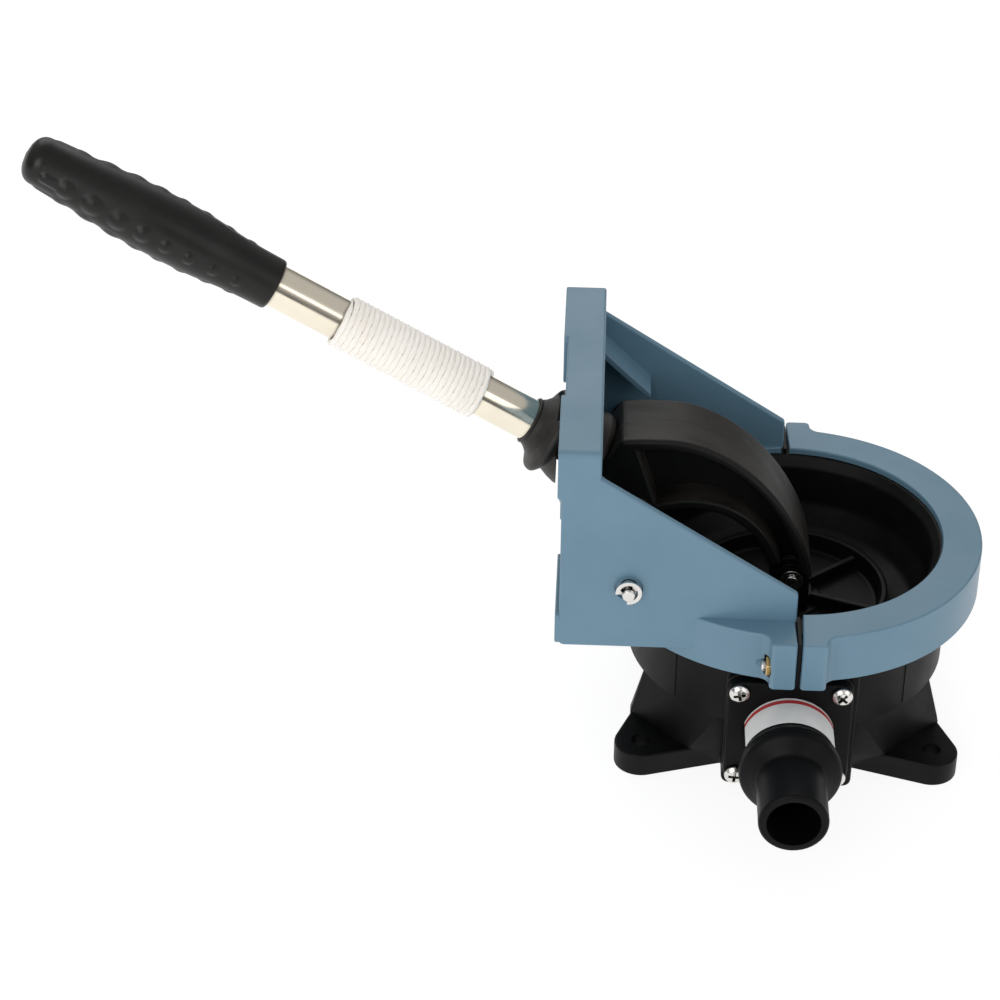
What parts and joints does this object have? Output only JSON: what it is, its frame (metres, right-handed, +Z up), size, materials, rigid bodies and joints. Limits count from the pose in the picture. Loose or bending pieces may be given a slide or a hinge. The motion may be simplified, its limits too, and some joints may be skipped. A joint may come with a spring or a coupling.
{
  "type": "manual diaphragm bilge pump",
  "caption": "Hand-lever diaphragm bilge pump with a bulkhead bracket, a two-half clamp ring, a cord-whipped tube handle and two stepped hose tails.",
  "frame": {"origin": "on the pump's axis, in the plane its four feet stand on", "axes": "+Z up along the pump's axis, +X away from the bulkhead, outlet towards -Y and inlet towards +Y, handle towards -X"},
  "size_m": [0.355, 0.239, 0.2314],
  "materials": {
    "black_plastic": "moulded, fine texture",
    "blue_plastic": "moulded, satin",
    "rubber": "matt",
    "grip_rubber": "semi-gloss",
    "steel": "plain stainless",
    "tube_metal": "polished, faintly warm",
    "brass": "machined",
    "cord": "twisted white line",
    "label": "blank film"
  },
  "bodies": {
    "root": {"pump_body": "black_plastic", "bulkhead_bracket": "blue_plastic", "clamp_half": "blue_plastic", "clamp_stud_front": "steel", "clamp_stud_rear": "steel", "clamp_nut_front": "brass", "clamp_nut_rear": "brass", "pivot_clip_front": "steel", "pivot_clip_rear": "steel", "pivot_spacer_front": "black_plastic", "pivot_spacer_rear": "black_plastic", "pivot_pin": "steel", "outlet_hose_tail": "black_plastic", "inlet_hose_tail": "black_plastic", "outlet_gasket": "rubber", "inlet_gasket": "rubber", "outlet_screw_1": "steel", "outlet_screw_2": "steel", "outlet_screw_3": "steel", "outlet_screw_4": "steel", "inlet_screw_1": "steel", "inlet_screw_2": "steel", "inlet_screw_3": "steel", "inlet_screw_4": "steel", "label": "label", "gaiter": "rubber"},
    "lever": {"lever_arm": "black_plastic", "handle_tube": "tube_metal", "grip": "grip_rubber", "cord_whipping": "cord"},
    "plate": {"drive_plate": "black_plastic", "backing_plate": "black_plastic", "centre_bolt": "steel", "clevis_pin": "steel", "clevis_clip": "steel"},
    "diaphragm": {"diaphragm": "rubber"},
    "outlet_valve": {"outlet_flap": "rubber"},
    "inlet_valve": {"inlet_flap": "rubber"}
  },
  "joints": [
    {"name": "lever_hinge", "type": "hinge", "parent": "root", "child": "lever", "pos_m": [-0.062, 0, 0.089], "axis": [0, -1, 0], "range_deg": [-4, 26], "deforming": ["gaiter"]},
    {"name": "plate_level", "type": "hinge", "parent": "lever", "child": "plate", "pos_m": [0.0005, 0, 0.0595], "axis": [0, -1, 0], "range_deg": [-26, 4]},
    {"name": "diaphragm_flex", "type": "slide", "parent": "root", "child": "diaphragm", "axis": [0.2066, 0, 0.9784], "range_m": [-0.006, 0.0325], "deforming": ["diaphragm"]},
    {"name": "outlet_flap_swing", "type": "hinge", "parent": "root", "child": "outlet_valve", "pos_m": [-0.0013, -0.0621, 0.0421], "axis": [-1, 0, 0], "range_deg": [0, 30], "stiffness_Nm_per_rad": 0.003},
    {"name": "inlet_flap_swing", "type": "hinge", "parent": "root", "child": "inlet_valve", "pos_m": [-0.0013, 0.0621, 0.0421], "axis": [-1, 0, 0], "range_deg": [0, 30], "stiffness_Nm_per_rad": 0.003}
  ],
  "couplings": [
    {"joint": "plate_level", "follows": "lever_hinge", "ratio": -1},
    {"joint": "diaphragm_flex", "follows": "lever_hinge", "m_per_rad": 0.0683}
  ]
}
